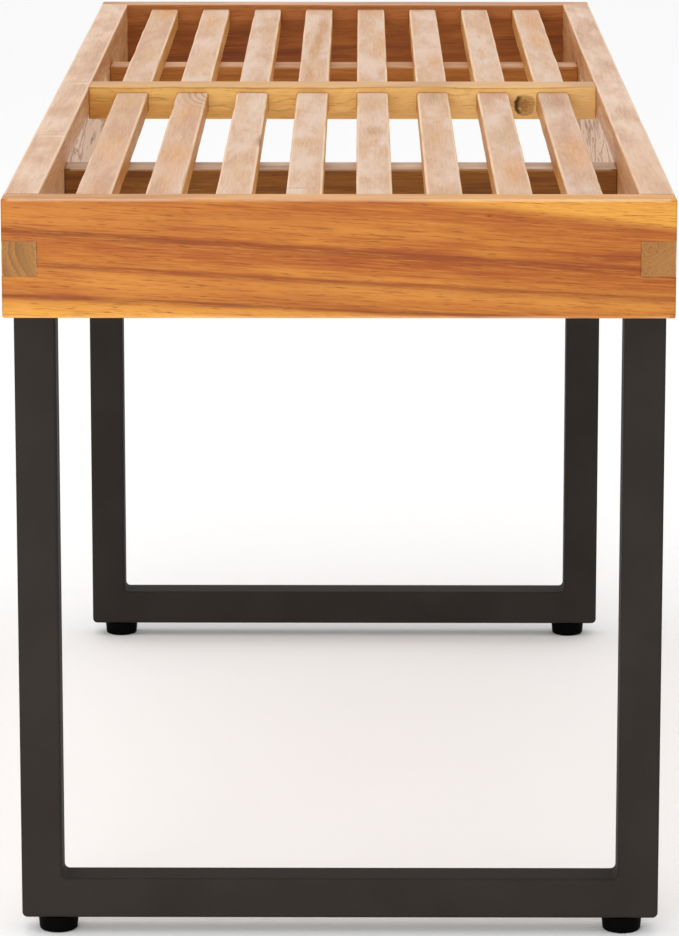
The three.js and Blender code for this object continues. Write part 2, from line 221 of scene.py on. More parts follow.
def make_patterns(g, pith, ring, knots):
    tree = g.tree
    g.sway = maths(tree, "SUBTRACT", noise_at(tree, drawn_out(g, g.looks.curl, 9.0), detail=2.0), 0.5)
    dv = maths(tree, "SUBTRACT", maths(tree, "MULTIPLY_ADD", g.sway, 0.034, g.v), pith[0])
    dw = maths(tree, "SUBTRACT", maths(tree, "MULTIPLY_ADD", g.sway, 0.030, g.leaning_w), pith[1])
    squares = maths(tree, "MULTIPLY_ADD", dv, dv, maths(tree, "MULTIPLY", dw, dw))
    radius = maths(tree, "SQRT", squares)
    for place, size in knots:
        pull = step(tree, distance(tree, g.object, place), 0.0, size * 3.2, 1.0, 0.0)
        radius = maths(tree, "MULTIPLY_ADD", pull, size * 1.5, radius)
    uneven = noise_along(tree, maths(tree, "ADD", radius, g.seed), 160.0, 3.0)
    turns = maths(tree, "MULTIPLY_ADD", uneven, 1.6, maths(tree, "DIVIDE", radius, ring))
    g.late = maths(tree, "POWER", maths(tree, "FRACT", turns), 2.4)
    g.band = noise_along(tree, maths(tree, "ADD", radius, g.seed * 0.37), 62.0, 2.0)
    g.fibre = noise_at(tree, drawn_out(g, 34.0, 900.0), detail=3.0, roughness=0.7)
    g.dash = noise_at(tree, drawn_out(g, 105.0, 1400.0), detail=1.0)
    g.coarse = noise_at(tree, drawn_out(g, 9.0, 190.0), detail=2.0, roughness=0.55)
    g.cloud = noise_at(tree, drawn_out(g, 10.0, 52.0), detail=3.0, roughness=0.6, distortion=0.2)


def base_surface(g, tint):
    tree, looks = g.tree, g.looks
    pale, body, reddish = colour(*looks.pale), colour(*looks.body), colour(*looks.reddish)
    tone = maths(tree, "MULTIPLY_ADD", maths(tree, "SUBTRACT", g.cloud, 0.5), looks.cloud * 1.2, 0.48 - tint)
    tone = maths(tree, "MULTIPLY_ADD", maths(tree, "SUBTRACT", g.band, 0.5), 0.7, tone)
    tone = maths(tree, "MULTIPLY_ADD", maths(tree, "SUBTRACT", g.coarse, 0.5), 1.1, tone)
    surface = mix(tree, step(tree, tone, 0.05, 0.62), pale, body)
    surface = mix(tree, step(tree, tone, 0.58, 1.05), surface, reddish)
    return mix(tree, maths(tree, "MULTIPLY", g.late, looks.rings), surface, reddish)


def paint_band(g, surface, line, above, below, strength, paint, broken=False):
    """A streak along the board. Each pair is its value at the board's start and at its end.

    line is its height over the board's lower edge, and above and below are how far it fades each way.
    A broken streak comes and goes along the board, and wanders.
    """
    tree = g.tree

    def along(pair):
        return maths(tree, "MULTIPLY_ADD", g.progress, pair[1] - pair[0], pair[0])

    gap = maths(tree, "MULTIPLY_ADD", g.sway, 0.004, maths(tree, "SUBTRACT", g.height, along(line)))
    gap = maths(tree, "MULTIPLY_ADD", maths(tree, "SUBTRACT", g.coarse, 0.5), 0.0022, gap)
    if broken:
        curl = noise_at(tree, drawn_out(g, 42.0, 12.0), detail=1.0)
        gap = maths(tree, "MULTIPLY_ADD", maths(tree, "SUBTRACT", curl, 0.5), 0.012, gap)
    over = maths(tree, "DIVIDE", maths(tree, "MAXIMUM", gap, 0.0), along(above))
    under = maths(tree, "DIVIDE", maths(tree, "MINIMUM", gap, 0.0), along(below))
    spread = maths(tree, "SUBTRACT", over, under)
    bell = maths(tree, "EXPONENT", maths(tree, "MULTIPLY", maths(tree, "MULTIPLY", spread, spread), -1.0))
    uneven = maths(tree, "MULTIPLY_ADD", g.fibre, 0.9, 0.55)
    if broken:
        gate = noise_along(tree, maths(tree, "ADD", g.u, g.seed + line[0] * 90), 30.0, 1.0)
        uneven = maths(tree, "MULTIPLY", uneven, step(tree, gate, 0.50, 0.58))
    amount = maths(tree, "MULTIPLY", maths(tree, "MULTIPLY", bell, uneven), along(strength), clamp=True)
    return mix(tree, amount, surface, colour(*paint))


def paint_fibres(g, surface):
    tree, looks = g.tree, g.looks
    pale, reddish, dark = colour(*looks.pale), colour(*looks.reddish), colour(*looks.dark)
    surface = mix(tree, step(tree, g.fibre, 0.50, 0.68, 0.0, looks.fibres), surface, reddish)
    surface = mix(tree, step(tree, g.fibre, 0.50, 0.32, 0.0, looks.fibres * 0.8), surface, pale)
    return mix(tree, step(tree, g.dash, 0.60, 0.76, 0.0, looks.dashes), surface, dark)


# A knot's mottled heart, the rim round it, and the shadow on its left.
KNOT_HEART, KNOT_MOTTLE = (178, 130, 56), (118, 78, 26)
KNOT_RIM, KNOT_SHADOW = (124, 76, 28), (58, 30, 10)


def paint_knots(g, surface, knots):
    tree = g.tree
    for place, size in knots:
        rugged = noise_at(tree, g.object, 240.0, 3.0, 0.6)
        offset = distance(tree, g.object, place)
        offset = maths(tree, "MULTIPLY_ADD", maths(tree, "SUBTRACT", rugged, 0.5), size * 0.6, offset)
        heart = step(tree, offset, size * 0.6, size * 0.95, 1.0, 0.0)
        leftward = maths(tree, "SUBTRACT", place[0], g.place[0])
        shadow = maths(tree, "MULTIPLY", step(tree, leftward, size * 0.1, size * 0.7),
                       maths(tree, "MULTIPLY", step(tree, offset, size * 0.55, size * 0.8),
                             step(tree, offset, size * 1.0, size * 1.25, 1.0, 0.0)))
        mottle = maths(tree, "MULTIPLY", maths(tree, "ADD", rugged, g.fibre), 0.5)
        mottle = step(tree, mottle, 0.44, 0.56)
        core = mix(tree, mottle, colour(*KNOT_HEART), colour(*KNOT_MOTTLE))
        surface = mix(tree, maths(tree, "MULTIPLY", heart, 0.8), surface, core)
        rim = maths(tree, "SUBTRACT", step(tree, offset, size, size * 1.3, 1.0, 0.0), heart)
        surface = mix(tree, maths(tree, "MULTIPLY", rim, 0.55), surface, colour(*KNOT_RIM))
        surface = mix(tree, maths(tree, "MULTIPLY", shadow, 0.9), surface, colour(*KNOT_SHADOW))
    return surface


def paint_swirls(g, surface, swirls):
    """Dark arcs of late wood, drawn out along the grain, round places beside the board."""
    tree = g.tree
    squeeze, spacing, waver, edge = 0.24, 0.0042, 0.003, 0.004
    for place_u, place_v, near, far in swirls:
        a = maths(tree, "MULTIPLY", maths(tree, "SUBTRACT", g.u, place_u), squeeze)
        b = maths(tree, "SUBTRACT", g.v, place_v)
        offset = maths(tree, "SQRT", maths(tree, "MULTIPLY_ADD", a, a, maths(tree, "MULTIPLY", b, b)))
        offset = maths(tree, "MULTIPLY_ADD", g.cloud, waver, offset)
        arc = maths(tree, "POWER", maths(tree, "FRACT", maths(tree, "DIVIDE", offset, spacing)), 3.0)
        inside = step(tree, offset, near, near + edge)
        fade = step(tree, offset, near + 0.006, far, 0.75, 0.0)
        amount = maths(tree, "MULTIPLY", maths(tree, "MULTIPLY", arc, inside), fade)
        surface = mix(tree, amount, surface, colour(*g.looks.dark))
    return surface


def paint_stains(g, surface, stains):
    """Soft marks: (part along the board, part across it, half length, half width, paint, strength).

    Across is over the top of a board with its grain on Y, and up the sides of one with its grain on X.
    """
    tree = g.tree
    across, offset = (0, g.v) if g.along == 1 else (2, g.w)
    waver = maths(tree, "MULTIPLY", maths(tree, "SUBTRACT", g.cloud, 0.5), 2.2)
    shown = maths(tree, "SUBTRACT", step(tree, g.up_normal, -0.4, -0.1), g.end_grain, clamp=True)
    for part_along, part_across, half_length, half_width, paint, strength in stains:
        place_u = (g.high[g.along] - g.low[g.along]) * (part_along - 0.5)
        place_v = (g.high[across] - g.low[across]) * (part_across - 0.5)
        a = maths(tree, "DIVIDE", maths(tree, "SUBTRACT", g.u, place_u), half_length)
        b = maths(tree, "DIVIDE", maths(tree, "SUBTRACT", offset, place_v), half_width)
        squares = maths(tree, "MULTIPLY_ADD", a, a, maths(tree, "MULTIPLY", b, b))
        reach = maths(tree, "ADD", maths(tree, "SQRT", squares), waver)
        amount = maths(tree, "MULTIPLY", step(tree, reach, 0.1, 1.2, strength, 0.0),
                       step(tree, g.fibre, 0.30, 0.60, 0.6, 1.0))
        amount = maths(tree, "MULTIPLY", amount, shown)
        surface = mix(tree, amount, surface, colour(*paint))
    return surface


# Unplaned wood, its torn lines and its pits.
ROUGH_PALE, ROUGH_TORN, ROUGH_PIT = (244, 219, 194), (158, 115, 80), (140, 104, 74)


def paint_rough_patch(g, surface, patch):
    """Unplaned wood on a board's inner side: pale swirls with torn, darker lines."""
    tree = g.tree
    start, end, top, facing = patch
    end_fade, top_fade, waviness = 0.012, 0.004, 0.006
    inward = step(tree, maths(tree, "MULTIPLY", g.side_normal, facing), 0.6, 0.9)
    reach = maths(tree, "MULTIPLY", step(tree, g.place[1], start, start + end_fade),
                  step(tree, g.place[1], end - end_fade, end, 1.0, 0.0))
    height = maths(tree, "MULTIPLY_ADD", g.coarse, waviness, g.place[2])
    mask = maths(tree, "MULTIPLY", maths(tree, "MULTIPLY", inward, reach),
                 step(tree, height, top, top + top_fade, 1.0, 0.0))
    swirl = noise_at(tree, drawn_out(g, 7.0, 42.0), detail=2.5, roughness=0.55, distortion=1.0)
    lines = maths(tree, "PINGPONG", maths(tree, "MULTIPLY", swirl, 5.0), 0.5)
    broken = step(tree, g.fibre, 0.34, 0.62, 0.4, 1.0)
    lines = maths(tree, "MULTIPLY", step(tree, lines, 0.14, 0.48), broken)
    torn = mix(tree, lines, colour(*ROUGH_PALE), colour(*ROUGH_TORN))
    pits = noise_at(tree, drawn_out(g, 46.0, 300.0), detail=2.0)
    torn = mix(tree, step(tree, pits, 0.56, 0.72, 0.0, 0.35), torn, colour(*ROUGH_PIT))
    return mix(tree, maths(tree, "MULTIPLY", mask, 0.85), surface, torn)


def paint_end_grain(g, surface, end_rings):
    tree, looks = g.tree, g.looks
    g.end_grain = step(tree, g.end_normal, 0.75, 0.95)
    speck = noise_at(tree, drawn_out(g, 900.0, 900.0), detail=2.0)
    patchy = step(tree, g.cloud, 0.42, 0.60)
    end = mix(tree, maths(tree, "MULTIPLY", g.late, end_rings), colour(*looks.end), colour(*looks.end_dark))
    specks = maths(tree, "MULTIPLY", step(tree, speck, 0.52, 0.62), patchy)
    end = mix(tree, maths(tree, "MULTIPLY", specks, 0.8), end, colour(*looks.dark))
    return mix(tree, maths(tree, "MULTIPLY", g.end_grain, 0.9), surface, end)


def paint_sheen_and_wear(g, surface):
    """Tops are paler with a painted sheen, and rubbed edges, where two of the three distances to a face are
    small, are paler with wear and a painted highlight.
    """
    tree = g.tree
    # painted sheen: faces that point up are mixed, patchily, towards a pale sheen colour
    top = step(tree, g.up_normal, 0.7, 0.97, 0.0, g.looks.bleach)
    top = maths(tree, "MULTIPLY", top, step(tree, g.cloud, 0.36, 0.62, 1.0, 0.5))
    surface = mix(tree, top, surface, colour(*g.looks.worn))
    gaps = []
    for axis in range(3):
        over = maths(tree, "SUBTRACT", g.place[axis], g.low[axis])
        under = maths(tree, "SUBTRACT", g.high[axis], g.place[axis])
        gaps.append(maths(tree, "MINIMUM", over, under))
    larger = maths(tree, "MAXIMUM", gaps[0], gaps[1])
    smaller = maths(tree, "MINIMUM", gaps[0], gaps[1])
    middle = maths(tree, "MAXIMUM", smaller, maths(tree, "MINIMUM", larger, gaps[2]))
    # rubbed edges: paler along the arrises, partly from wear and partly as a painted highlight
    rubbed_and_highlight = step(tree, middle, 0.3 * MM, 2.0 * MM, 1.0, 0.0)
    rubbed_and_highlight = maths(tree, "MULTIPLY", rubbed_and_highlight, step(tree, g.cloud, 0.32, 0.60, 0.25, 0.85))
    rubbed_and_highlight = maths(tree, "MULTIPLY", rubbed_and_highlight, step(tree, gaps[g.along], 2.0 * MM, 5.0 * MM, 0.0, g.looks.rub))
    return mix(tree, rubbed_and_highlight, surface, colour(*WORN_EDGE_AND_HIGHLIGHT))


def wood(name, kind, low, high, grain, seed, pith=(0.05, -0.06), slope=0.0, ring=0.0032, tint=0.0,
         bands=(), knots=(), swirls=(), stains=(), patch=None, end_rings=0.5):
    """Solid wood: growth rings round a pith beside the board, with fibres and streaks along the grain.

    grain is the axis the fibres follow, and pith the tree's centre, measured across the grain from the
    board's centre. Knots are (place, radius), swirls are (u, v, near, far), and patch is
    (start, end, top, facing). paint_stains explains stains.
    """
    g = wood_grain(name, kind, low, high, grain, seed, slope)
    make_patterns(g, pith, ring, knots)
    surface = base_surface(g, tint)
    for band in bands:
        surface = paint_band(g, surface, *band)
    surface = paint_fibres(g, surface)
    surface = paint_knots(g, surface, knots)
    surface = paint_end_grain(g, surface, end_rings)
    # a painted sheen on tops, and rubbed edges that are partly wear and partly a painted highlight
    surface = paint_sheen_and_wear(g, surface)
    surface = paint_stains(g, surface, stains)
    surface = paint_swirls(g, surface, swirls)
    if patch:
        surface = paint_rough_patch(g, surface, patch)
    tree, shader = g.tree, g.shader
    tree.links.new(surface, shader.inputs["Base Color"])
    rough = maths(tree, "MULTIPLY_ADD", g.fibre, 0.22, maths(tree, "MULTIPLY_ADD", g.end_grain, 0.2, 0.40))
    tree.links.new(rough, shader.inputs["Roughness"])
    shader.inputs["Specular IOR Level"].default_value = 0.16
    relief = maths(tree, "MULTIPLY_ADD", g.late, -0.35, maths(tree, "MULTIPLY_ADD", g.dash, -0.4, g.fibre))
    bump(tree, shader, relief, 0.35, 0.25 * MM)
    return g.material


# ---------------------------------------------------------------- metal and plastic

def powder_coat():
    """Satin black powder coat: a fine orange peel with slightly uneven gloss."""
    material, tree, shader = new_material("powder_coat")
    place = add(tree, "ShaderNodeTexCoord").outputs["Object"]
    peel = noise_at(tree, place, 900.0, 2.0, 0.6)
    patch = noise_at(tree, place, 22.0, 3.0, 0.5)
    tint = mix(tree, step(tree, patch, 0.3, 0.7), colour(43, 39, 36), colour(47, 43, 40))
    tree.links.new(tint, shader.inputs["Base Color"])
    rough = maths(tree, "MULTIPLY_ADD", patch, 0.14, maths(tree, "MULTIPLY_ADD", peel, 0.08, 0.46))
    tree.links.new(rough, shader.inputs["Roughness"])
    shader.inputs["Specular IOR Level"].default_value = 0.03
    bump(tree, shader, peel, 0.25, 0.12 * MM)
    return material


def moulded_plastic():
    material, tree, shader = new_material("foot_plastic")
    place = add(tree, "ShaderNodeTexCoord").outputs["Object"]
    grain = noise_at(tree, place, 1600.0, 2.0, 0.6)
    scuff = noise_at(tree, place, 240.0, 3.0, 0.6)
    tint = mix(tree, step(tree, scuff, 0.55, 0.8), colour(3, 3, 3), colour(9, 9, 8))
    tree.links.new(tint, shader.inputs["Base Color"])
    tree.links.new(maths(tree, "MULTIPLY_ADD", grain, 0.2, 0.55), shader.inputs["Roughness"])
    shader.inputs["Specular IOR Level"].default_value = 0.03
    bump(tree, shader, grain, 0.3, 0.1 * MM)
    return material


def zinc_plate():
    material, tree, shader = new_material("zinc_plate")
    place = add(tree, "ShaderNodeTexCoord").outputs["Object"]
    spangle = noise_at(tree, place, 420.0, 3.0, 0.6)
    tint = mix(tree, step(tree, spangle, 0.35, 0.7), colour(176, 178, 178), colour(146, 146, 142))
    tree.links.new(tint, shader.inputs["Base Color"])
    shader.inputs["Metallic"].default_value = 1.0
    tree.links.new(maths(tree, "MULTIPLY_ADD", spangle, 0.25, 0.22), shader.inputs["Roughness"])
    bump(tree, shader, spangle, 0.2, 0.08 * MM)
    return material


# ---------------------------------------------------------------- mesh helpers

def corners_of(node):
    low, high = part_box(node)
    return Vector(low), Vector(high)


def span_of(node):
    """Where a turned piece stands: its vertical axis, its bottom and its top."""
    low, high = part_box(node)
    return ((low[0] + high[0]) / 2, (low[1] + high[1]) / 2), low[2], high[2]


def mesh_object(name, points, faces):
    mesh = bpy.data.meshes.new(name)
    mesh.from_pydata([tuple(p) for p in points], [], faces)
    work = bmesh.new()
    work.from_mesh(mesh)
    bmesh.ops.recalc_face_normals(work, faces=work.faces)
    work.to_mesh(mesh)
    work.free()
    made = bpy.data.objects.new(name, mesh)
    bpy.context.collection.objects.link(made)
    return made


def skin_solid(rings):
    """Points and faces of a solid through rings of equal length, with a cap on each end."""
    count = len(rings[0])
    points = [point for ring in rings for point in ring]
    faces = []
    for index in range(len(rings) - 1):
        here, there = index * count, (index + 1) * count
        for side in range(count):
            following = (side + 1) % count
            faces.append((here + side, here + following, there + following, there + side))
    faces.append(tuple(range(count)))
    last = (len(rings) - 1) * count
    faces.append(tuple(last + side for side in range(count)))
    return points, faces


def skin(name, rings):
    return mesh_object(name, *skin_solid(rings))


def rounded_outline(width, height, radii, steps=5):
    """Points round a rectangle with its own radius at each corner, from the top right corner."""
    points = []
    for corner, radius in enumerate(radii):
        side_x = 1 if corner in (0, 3) else -1
        side_y = 1 if corner in (0, 1) else -1
        middle_x = side_x * (width / 2 - radius)
        middle_y = side_y * (height / 2 - radius)
        for index in range(steps + 1):
            angle = math.pi / 2 * (corner + index / steps)
            points.append((middle_x + radius * math.cos(angle), middle_y + radius * math.sin(angle)))
    return points


def edge_radius(radius, wear, place, length, corner, seed):
    """A hand-sanded edge's radius: it wanders and has small bites, and is true at the board's ends."""
    wander_rate, bite_rate, bite_from, end_fade = 17, 70, 0.3, 0.02
    wander = noise.noise(Vector((place * wander_rate, corner * 7.3, seed * 4.1)))
    bite = noise.noise(Vector((place * bite_rate, corner * 3.1 + 40, seed * 2.3)))
    bite = max(0.0, bite - bite_from)
    fade = min(1.0, place / end_fade, (length - place) / end_fade)
    return max(radius * 0.5, radius + wear * fade * (1.5 * wander + 2.4 * bite))


def board(name, low, high, grain, radius, wear, seed, spacing=0.012):
    """A board with eased edges. wear is how far each edge's radius wanders along the grain."""
    low, high = Vector(low), Vector(high)
    centre, size = (low + high) / 2, high - low
    along, across = (0, 1) if grain == "X" else (1, 0)
    length, width, height = size[along], size[across], size[2]
    ease_steps = 4
    turns = [math.pi / 2 * index / ease_steps for index in range(ease_steps + 1)]
    eased = [(radius * (1 - math.cos(turn)), radius * (1 - math.sin(turn))) for turn in turns]
    spans = max(2, round((length - 2 * radius) / spacing))
    stations = list(eased)
    stations += [(radius + (length - 2 * radius) * index / spans, 0.0) for index in range(1, spans)]
    stations += [(length - place, inset) for place, inset in reversed(eased)]
    rings = []
    for place, inset in stations:
        shrink = 1 - inset / (2 * radius)
        radii = [edge_radius(radius, wear, place, length, corner, seed) * shrink for corner in range(4)]
        ring = []
        for a, b in rounded_outline(width - 2 * inset, height - 2 * inset, radii):
            point = centre.copy()
            point[along] += place - length / 2
            point[across] += a
            point[2] += b
            ring.append(point)
        rings.append(ring)
    return skin(name, rings)


def box_solid(low, high):
    points = [(x, y, z) for x in (low[0], high[0]) for y in (low[1], high[1]) for z in (low[2], high[2])]
    return points, [(0, 1, 3, 2), (4, 6, 7, 5), (0, 4, 5, 1), (2, 3, 7, 6), (0, 2, 6, 4), (1, 5, 7, 3)]


def cut(obj, solids):
    """Takes separate solids, each given as points and faces, out of obj's mesh."""
    points, faces = [], []
    for solid_points, solid_faces in solids:
        base = len(points)
        points += solid_points
        faces += [tuple(base + index for index in face) for face in solid_faces]
    cutter = mesh_object("cutter", points, faces)
    modifier = obj.modifiers.new("cut", "BOOLEAN")
    modifier.operation, modifier.solver, modifier.object = "DIFFERENCE", "EXACT", cutter
    evaluated = obj.evaluated_get(bpy.context.evaluated_depsgraph_get())
    mesh = bpy.data.meshes.new_from_object(evaluated)
    obj.modifiers.clear()
    obj.data = mesh
    bpy.data.objects.remove(cutter)


def finish_piece(obj, material, body=BENCH, nodes=(), smooth_angle=34):
    """Gives a piece its material, its shading and its body, and hides the CAD nodes it stands for."""
    mesh = obj.data
    mesh.materials.clear()
    mesh.materials.append(material)
    mesh.shade_smooth()
    mesh.set_sharp_from_angle(angle=math.radians(smooth_angle))
    weighted = obj.modifiers.new("weighted_normals", "WEIGHTED_NORMAL")
    weighted.keep_sharp = True
    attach(obj, body)
    if nodes:
        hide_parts(*nodes)
    return obj


def circle(centre, radius, height, facets):
    turns = [2 * math.pi * index / facets for index in range(facets)]
    return [Vector((centre[0] + radius * math.cos(turn), centre[1] + radius * math.sin(turn), height))
            for turn in turns]


def turned(name, profile, centre, facets=48, closed=False):
    """A turned solid about the vertical through centre. profile is (radius, height).

    An open profile runs from axis to axis. A closed one joins its end to its start, round a bore.
    """
    points, rows, faces = [], [], []
    for radius, height in profile:
        if radius == 0:
            points.append(Vector((centre[0], centre[1], height)))
            rows.append([len(points) - 1] * facets)
        else:
            rows.append(list(range(len(points), len(points) + facets)))
            points += circle(centre, radius, height, facets)
    for lower, upper in zip(rows, rows[1:] + rows[:1] if closed else rows[1:]):
        for index in range(facets):
            following = (index + 1) % facets
            corners = (lower[index], lower[following], upper[following], upper[index])
            faces.append(tuple(dict.fromkeys(corners)))
    return mesh_object(name, points, faces)


# ---------------------------------------------------------------- wooden top

SOCKET_GAP = 0.2 * MM  # round a slat's end in its housing
SEAM_GAP = 0.12 * MM  # round a finger in its notch
TENON = 8 * MM  # hidden in the side rails, and left off here
SLAT_RADIUS = 1.5 * MM  # crisper than the solids' edges
RAIL_RADIUS = 1.1 * MM
MEMBER_RADIUS = 0.9 * MM
GOLD = (204, 146, 60)
REDDISH = (134, 60, 16)
DARK = (98, 43, 12)

# Streaks along the end rails, in the form that paint_band takes: line, above, below, strength, paint.
NEAR_BANDS = (
    ((0.0020, -0.0060), (0.0080, 0.0050), (0.050, 0.050), (0.85, 0.20), GOLD),
    ((0.0965, 0.0516), (0.060, 0.060), (0.0030, 0.0022), (0.80, 0.85), GOLD),
    ((0.0600, 0.0440), (0.0060, 0.0020), (0.0080, 0.0020), (0.75, 0.00), (180, 116, 46)),
    ((0.0240, 0.0080), (0.0060, 0.0060), (0.0060, 0.0050), (0.15, 0.75), (190, 130, 54)),
    ((0.0955, 0.0506), (0.0020, 0.0020), (0.0060, 0.0110), (0.10, 0.50), REDDISH),
    ((0.0505, 0.0275), (0.0016, 0.0020), (0.0070, 0.0130), (0.55, 0.80), REDDISH),
    ((0.0498, 0.0270), (0.0012, 0.0012), (0.0024, 0.0028), (0.60, 0.35), DARK),
    ((0.0600, 0.0340), (0.0008, 0.0008), (0.0014, 0.0016), (0.10, 0.35), REDDISH),
    ((0.0440, 0.0200), (0.0010, 0.0010), (0.0034, 0.0034), (0.30, 0.40), REDDISH),
    ((0.0315, 0.0115), (0.0010, 0.0010), (0.0036, 0.0044), (0.50, 0.55), REDDISH),
    ((0.0311, 0.0110), (0.0009, 0.0009), (0.0017, 0.0018), (0.45, 0.35), DARK),
    ((0.0128, -0.0030), (0.0040, 0.0030), (0.0016, 0.0016), (0.45, 0.35), REDDISH),
    ((0.0128, -0.0030), (0.0010, 0.0010), (0.0016, 0.0016), (0.60, 0.60), DARK),
)
FAR_BANDS = (
    ((0.0260, 0.0440), (0.0012, 0.0012), (0.0080, 0.0050), (0.60, 0.50), (110, 52, 26)),
    ((0.0120, 0.0200), (0.0010, 0.0010), (0.0030, 0.0030), (0.60, 0.60), (92, 44, 22)),
    ((0.0560, 0.0600), (0.0100, 0.0100), (0.0015, 0.0015), (0.50, 0.50), (190, 118, 64)),
)


def slat_names(end):
    return [f"{end}_slat_{index}" for index in range(1, 9)]


def slat_hole(name):
    """The housing of one slat's two ends: its own section, grown by the gap all round."""
    low, high = corners_of(name)
    centre, size = (low + high) / 2, high - low
    radius = SLAT_RADIUS + SOCKET_GAP
    outline = rounded_outline(size.x + 2 * SOCKET_GAP, size.z + 2 * SOCKET_GAP, [radius] * 4)
    rings = []
    for y in (low.y - SOCKET_GAP, high.y + SOCKET_GAP):
        rings.append([Vector((centre.x + a, y, centre.z + b)) for a, b in outline])
    return skin_solid(rings)


def slat_holes(ends):
    return [slat_hole(name) for end in ends for name in slat_names(end)]


def finger_box(side, end, gap=0.0):
    """The end of a side rail's middle finger, through the end rail."""
    rail_low, rail_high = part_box(f"{side}_side_rail")
    end_low, end_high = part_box(f"{end}_end_rail")
    shoulder = 24 * MM
    low = Vector((rail_low[0], end_low[1], rail_low[2] + shoulder))
    high = Vector((rail_high[0], end_high[1], rail_high[2] - shoulder))
    grow = Vector((gap, gap, gap))
    return low - grow, high + grow


def make_end_rails():
    pin_knot = (0.722, 0.86, 0.0024, 0.0009, DARK, 0.8)
    plans = {"near": (3.0, 0.058, NEAR_BANDS, [pin_knot]), "far": (8.0, -0.04, FAR_BANDS, [])}
    for end, (seed, slope, bands, stains) in plans.items():
        node = f"{end}_end_rail"
        low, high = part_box(node)
        rail = board(f"{end}_end_board", low, high, "X", RAIL_RADIUS, wear=0.2 * MM, seed=seed)
        fingers = [box_solid(*finger_box(side, end, SEAM_GAP)) for side in ("left", "right")]
        cut(rail, fingers + slat_holes([end]))
        material = wood(f"{end}_end_wood", f"{end}_rail", low, high, "X", seed, pith=(0.11, -0.05),
                        slope=slope, ring=0.0042, bands=bands, stains=stains)
        finish_piece(rail, material, nodes=[node])


def shoulder_cuts(side, end):
    """Boxes that leave only the middle finger at one end of a side rail."""
    low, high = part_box(f"{side}_side_rail")
    end_low, end_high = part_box(f"{end}_end_rail")
    finger_low, finger_high = finger_box(side, end)
    beyond = 5 * MM
    y_low = end_low[1] - (beyond if end == "near" else 0)
    y_high = end_high[1] + (beyond if end == "far" else 0)
    left, right = low[0] - beyond, high[0] + beyond
    under = box_solid((left, y_low, low[2] - beyond), (right, y_high, finger_low[2]))
    over = box_solid((left, y_low, finger_high[2]), (right, y_high, high[2] + beyond))
    return [under, over]


# Marks on the side rails' tops, in the form that paint_stains takes.
SCUFF = (246, 220, 178)
SIDE_BROWN = (176, 124, 84)
SIDE_STAINS = {
    "left": ((0.250, 0.60, 0.0018, 0.010, SCUFF, 0.95), (0.258, 0.40, 0.0014, 0.012, SIDE_BROWN, 0.60),
             (0.270, 0.50, 0.0014, 0.012, SIDE_BROWN, 0.50), (0.502, 0.65, 0.0020, 0.009, SCUFF, 0.90),
             (0.150, 0.60, 0.0500, 0.0050, SIDE_BROWN, 0.35),
             (0.360, 0.40, 0.0300, 0.008, SIDE_BROWN, 0.40), (0.700, 0.70, 0.0060, 0.005, SIDE_BROWN, 0.50)),
    "right": ((0.270, 0.20, 0.0300, 0.004, SIDE_BROWN, 0.45), (0.600, 0.60, 0.0500, 0.008, SIDE_BROWN, 0.30),
              (0.100, 0.50, 0.1600, 0.030, (204, 156, 112), 0.40)),
}


def make_side_rails():
    # The pith is where each finger's end grain gets its arcs from.
    plans = {"left": (12.0, 1, (0.032, 0.006), 0.0052, 0.10, 0.6),
             "right": (17.0, -1, (0.060, -0.070), 0.0034, -0.08, 0.22)}
    for side, (seed, facing, pith, ring, tint, end_rings) in plans.items():
        node = f"{side}_side_rail"
        low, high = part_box(node)
        rail = board(f"{side}_side_board", low, high, "Y", RAIL_RADIUS, wear=0.4 * MM, seed=seed)
        cut(rail, shoulder_cuts(side, "near") + shoulder_cuts(side, "far"))
        patch = (-0.238, 0.210, high[2] - 17 * MM, facing)
        material = wood(f"{side}_side_wood", "side", low, high, "Y", seed, pith=pith, slope=0.004 * facing,
                        ring=ring, tint=tint, stains=SIDE_STAINS[side], patch=patch, end_rings=end_rings)
        finish_piece(rail, material, nodes=[node])


def without_tenons(node):
    low, high = corners_of(node)
    shoulder = Vector((TENON, 0, 0))
    return low + shoulder, high - shoulder


def make_cross_members():
    low, high = without_tenons("centre_rail")
    seed = 21.0
    rail = board("centre_board", low, high, "X", MEMBER_RADIUS, wear=0.2 * MM, seed=seed)
    cut(rail, slat_holes(["near", "far"]))
    knot = (0.122, low.y, low.z + 0.0095)
    # Two broken cracks, a browner lower edge, a paler right half, and a thin line under the top edge.
    streaks = (
        ((0.0135, 0.0150), (0.0004, 0.0004), (0.0006, 0.0006), (0.60, 0.45), (92, 56, 24), True),
        ((0.0085, 0.0065), (0.0004, 0.0004), (0.0006, 0.0006), (0.45, 0.60), (92, 56, 24), True),
        ((0.0030, 0.0050), (0.0020, 0.0020), (0.0040, 0.0040), (0.35, 0.35), (168, 108, 46)),
        ((0.0120, 0.0120), (0.0300, 0.0300), (0.0300, 0.0300), (0.00, 0.60), (240, 202, 138)),
        ((0.0216, 0.0216), (0.0004, 0.0004), (0.0006, 0.0006), (0.55, 0.55), (140, 88, 44)),
    )
    material = wood("centre_wood", "centre", low, high, "X", seed, pith=(0.05, 0.03), ring=0.005,
                    knots=[(knot, 0.0062)], bands=streaks)
    finish_piece(rail, material, nodes=["centre_rail"])
    for end, seed in (("near", 24.0), ("far", 27.0)):
        node = f"{end}_slat_support"
        low, high = without_tenons(node)
        support = board(f"{end}_support_board", low, high, "X", MEMBER_RADIUS, wear=0.25 * MM, seed=seed)
        material = wood(f"{end}_support_wood", f"{end}_support", low, high, "X", seed, pith=(0.04, 0.05),
                        ring=0.004)
        finish_piece(support, material, nodes=[node])


ORANGE_TAN = (200, 138, 72)
BROWN_TAN = (158, 110, 60)
TAN = (194, 146, 94)
GOLD_TAN = (180, 126, 58)

